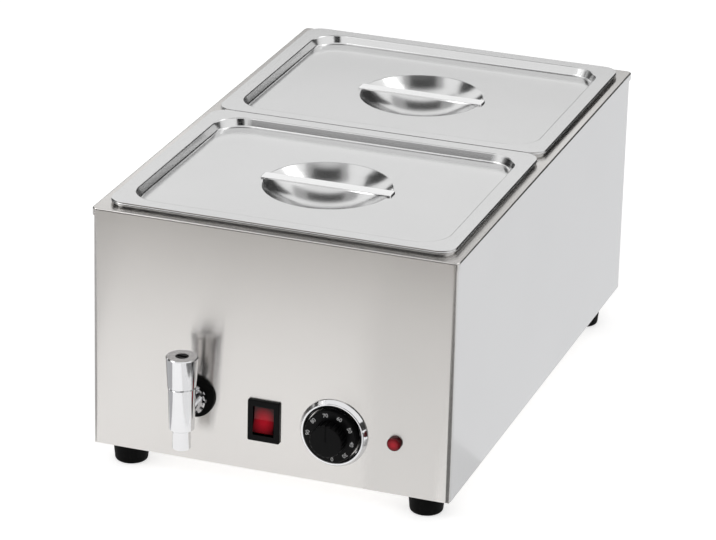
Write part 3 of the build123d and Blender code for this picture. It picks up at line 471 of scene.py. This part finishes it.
def make_floor():
    """Pale floor that shows white and keeps the object's shadow."""
    material, nodes, links = bare_material("floor")
    lit = nodes.new("ShaderNodeBsdfDiffuse")
    lit.inputs["Color"].default_value = (FLOOR_GREY, FLOOR_GREY, FLOOR_GREY, 1)
    glow = nodes.new("ShaderNodeEmission")
    strength = ramp(nodes, links, seen_directly(nodes, links), 0.0, FLOOR_GLOW, start=0.0, end=1.0)
    links.new(strength, glow.inputs["Strength"])
    both = nodes.new("ShaderNodeAddShader")
    links.new(lit.outputs["BSDF"], both.inputs[0])
    links.new(glow.outputs["Emission"], both.inputs[1])
    links.new(both.outputs["Shader"], nodes["Material Output"].inputs["Surface"])
    half = FLOOR_SIZE / 2
    stage_sheet("floor", [(-half, -half, 0), (half, -half, 0), (half, half, 0), (-half, half, 0)], material)


def soft_lamp(name, place, target, size, watts):
    """Oblong lamp turned to a target."""
    data = bpy.data.lights.new(name, "AREA")
    data.shape = "RECTANGLE"
    data.size, data.size_y = size
    data.energy = watts
    lamp = bpy.data.objects.new(name, data)
    lamp.location = place
    lamp.rotation_euler = (Vector(target) - Vector(place)).to_track_quat("-Z", "Y").to_euler()
    bpy.context.scene.collection.objects.link(lamp)


def card(name, corners, colour):
    """Studio card that only shows as a reflection."""
    material, nodes, links = bare_material(name)
    glow = nodes.new("ShaderNodeEmission")
    glow.inputs["Color"].default_value = (*colour, 1)
    links.new(glow.outputs["Emission"], nodes["Material Output"].inputs["Surface"])
    sheet = stage_sheet(name, corners, material)
    sheet.visible_camera = False
    sheet.visible_diffuse = False
    sheet.visible_transmission = False
    sheet.visible_shadow = False


def level_card(name, corners, height, colour):
    """Card that lies level at a height."""
    card(name, [(x, y, height) for x, y in corners], colour)


def standing_card(name, ends, foot, top, colour, end_top=None):
    """Upright card between two ends, level along its top unless its second end has a height of its own."""
    start, end = ends
    end_top = top if end_top is None else end_top
    card(name, [(*start, foot), (*end, foot), (*end, end_top), (*start, top)], colour)


def ceiling_card(name, start, end, half_width, height, grey):
    """Card overhead, between two distances behind the object, square to the camera's line of sight."""
    azimuth = math.radians(CAMERA_AZIMUTH)
    along = Vector((-math.sin(azimuth), math.cos(azimuth), 0))
    across = Vector((math.cos(azimuth), math.sin(azimuth), 0)) * half_width
    near = along * start + Vector((0, 0, height))
    far = along * end + Vector((0, 0, height))
    card(name, [near - across, near + across, far + across, far - across], (grey, grey, grey))


def horizon_cards():
    """Dark wall all round, low over the floor."""
    turns = [2 * math.pi * i / HORIZON_SIDES for i in range(HORIZON_SIDES + 1)]
    posts = [(HORIZON_RADIUS * math.cos(turn), HORIZON_RADIUS * math.sin(turn)) for turn in turns]
    for i in range(HORIZON_SIDES):
        standing_card(f"horizon_{i}", posts[i:i + 2], CARD_LIFT, HORIZON_HEIGHT, CHARCOAL)


def make_lamps():
    """Two weak lamps, behind the object on the right and before it on the left."""
    soft_lamp("key", place=(0.78, 1.37, 2.74), target=(0, -0.1, 0.25), size=(0.9, 0.6), watts=3.5)
    soft_lamp("fill", place=(-1.6, -1.4, 1.8), target=(0, 0, 0.1), size=(1.2, 1.0), watts=10)


def floor_cards():
    """Cards that shade the front panel and the right side of the casing."""
    level_card("front_card", FRONT_CARD, CARD_LIFT, WARM_GREY)
    level_card("left_card", LEFT_CARD, CARD_LIFT, MID_GREY)
    level_card("right_card", RIGHT_CARD, CARD_LIFT, DARK_GREY)
    level_card("right_grey", MIDDLE_CARD, CARD_LIFT, PALE)
    level_card("side_near", SIDE_NEAR_CARD, 2 * CARD_LIFT, COOL_GREY)
    level_card("side_grey", SIDE_CARD, CARD_LIFT, COOL_PALE)


def overhead_cards():
    """Cards that give the lids' dishes their soft dark patches."""
    ceiling_card("near_shade", start=-0.05, end=1.2, half_width=0.85, height=CEILING_HEIGHT, grey=0.4)
    ceiling_card("near_core", start=0.12, end=1.0, half_width=0.55, height=CORE_HEIGHT, grey=0.04)
    ceiling_card("far_shade", start=2.25, end=5.1, half_width=1.35, height=CEILING_HEIGHT, grey=0.42)
    ceiling_card("far_core", start=2.45, end=4.2, half_width=0.7, height=CORE_HEIGHT, grey=0.07)
    level_card("left_ceiling", LEFT_CEILING_CARD, CEILING_HEIGHT, SOOT)


def standing_cards():
    """Cards that give the lids' edges, recesses and dishes their dark lines and spots."""
    standing_card("front_flag", FRONT_FLAG, FLAG_FOOT, FLAG_TOP, BLACK)
    standing_card("left_flag", LEFT_FLAG, FLAG_FOOT, FLAG_TOP, BLACK, FLAG_BACK_TOP)
    standing_card("front_wall", FRONT_WALL, FRONT_WALL_FOOT, FRONT_WALL_TOP, BLACK)
    standing_card("back_wall", BACK_WALL, 0.0, BACK_WALL_TOP, SOOT)
    horizon_cards()


dress_nodes()
dial_numbers()
make_camera()
make_world()
make_floor()
make_lamps()
floor_cards()
overhead_cards()
standing_cards()
bpy.context.scene.view_settings.view_transform = "Standard"
